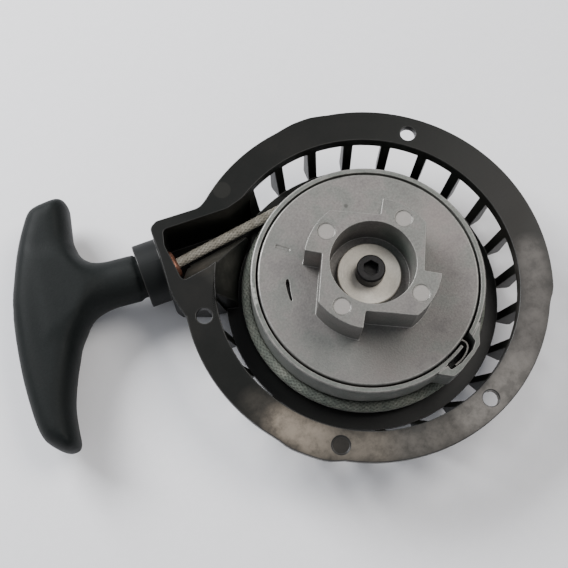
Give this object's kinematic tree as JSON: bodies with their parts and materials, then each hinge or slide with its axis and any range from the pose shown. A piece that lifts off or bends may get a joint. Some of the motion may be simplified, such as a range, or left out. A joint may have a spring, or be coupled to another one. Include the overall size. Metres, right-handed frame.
{
  "type": "recoil starter",
  "caption": "Easy-start recoil starter: slotted round housing, rope drum with booster spring, four-lobe claw disc, rope and T-handle.",
  "frame": {"origin": "the drum's axis at the flange's engine-side face, which is the centre of the mounting holes' circle", "axes": "+Z along the drum's axis towards the engine; -X along the rope, out of the housing; the handle is pulled along -X"},
  "size_m": [0.193, 0.1526, 0.0472],
  "materials": {
    "housing_plastic": "black moulded nylon, fine satin grain",
    "grip_plastic": "black moulded grip, soft satin",
    "die_casting": "as-cast grey alloy, mottled, worn bright on edges",
    "zinc_steel": "pale turned and plated steel",
    "black_oxide": "black oxide socket screw",
    "spring_steel": "oiled blue-grey spring strip",
    "copper_eyelet": "dull copper-coloured rolled eyelet",
    "brass_insert": "plain brass insert",
    "rope_braid": "off-white braided starter cord"
  },
  "bodies": {
    "housing": {"housing": "housing_plastic", "rope_eyelet": "copper_eyelet", "post_insert": "brass_insert", "pivot_sleeve": "zinc_steel", "recoil_spring": "spring_steel", "spring_cover": "zinc_steel", "retaining_washer": "zinc_steel", "centre_screw": "black_oxide", "rope_run": "rope_braid"},
    "drum": {"rope_drum": "die_casting", "wound_rope": "rope_braid", "drum_knot": "rope_braid", "booster_spring": "spring_steel"},
    "claw": {"claw_disc": "die_casting"},
    "handle": {"handle_grip": "grip_plastic", "handle_washer": "zinc_steel", "handle_knot": "rope_braid"}
  },
  "joints": [
    {"name": "handle_pull", "type": "slide", "parent": "housing", "child": "handle", "axis": [-1, 0, 0], "range_m": [0, 0.7], "stiffness_N_per_m": 10, "springref_m": -0.6, "deforming": ["rope_run"]},
    {"name": "drum_spin", "type": "hinge", "parent": "housing", "child": "drum", "pos_m": [0, 0, 0], "axis": [0, 0, 1], "range_deg": [0, 1003], "deforming": ["recoil_spring", "wound_rope"]},
    {"name": "claw_windup", "type": "hinge", "parent": "drum", "child": "claw", "pos_m": [0, 0, 0], "axis": [0, 0, 1], "range_deg": [-270, 0], "stiffness_Nm_per_rad": 0.25, "deforming": ["booster_spring"]}
  ],
  "couplings": [
    {"joint": "drum_spin", "follows": "handle_pull", "rad_per_m": 25}
  ]
}
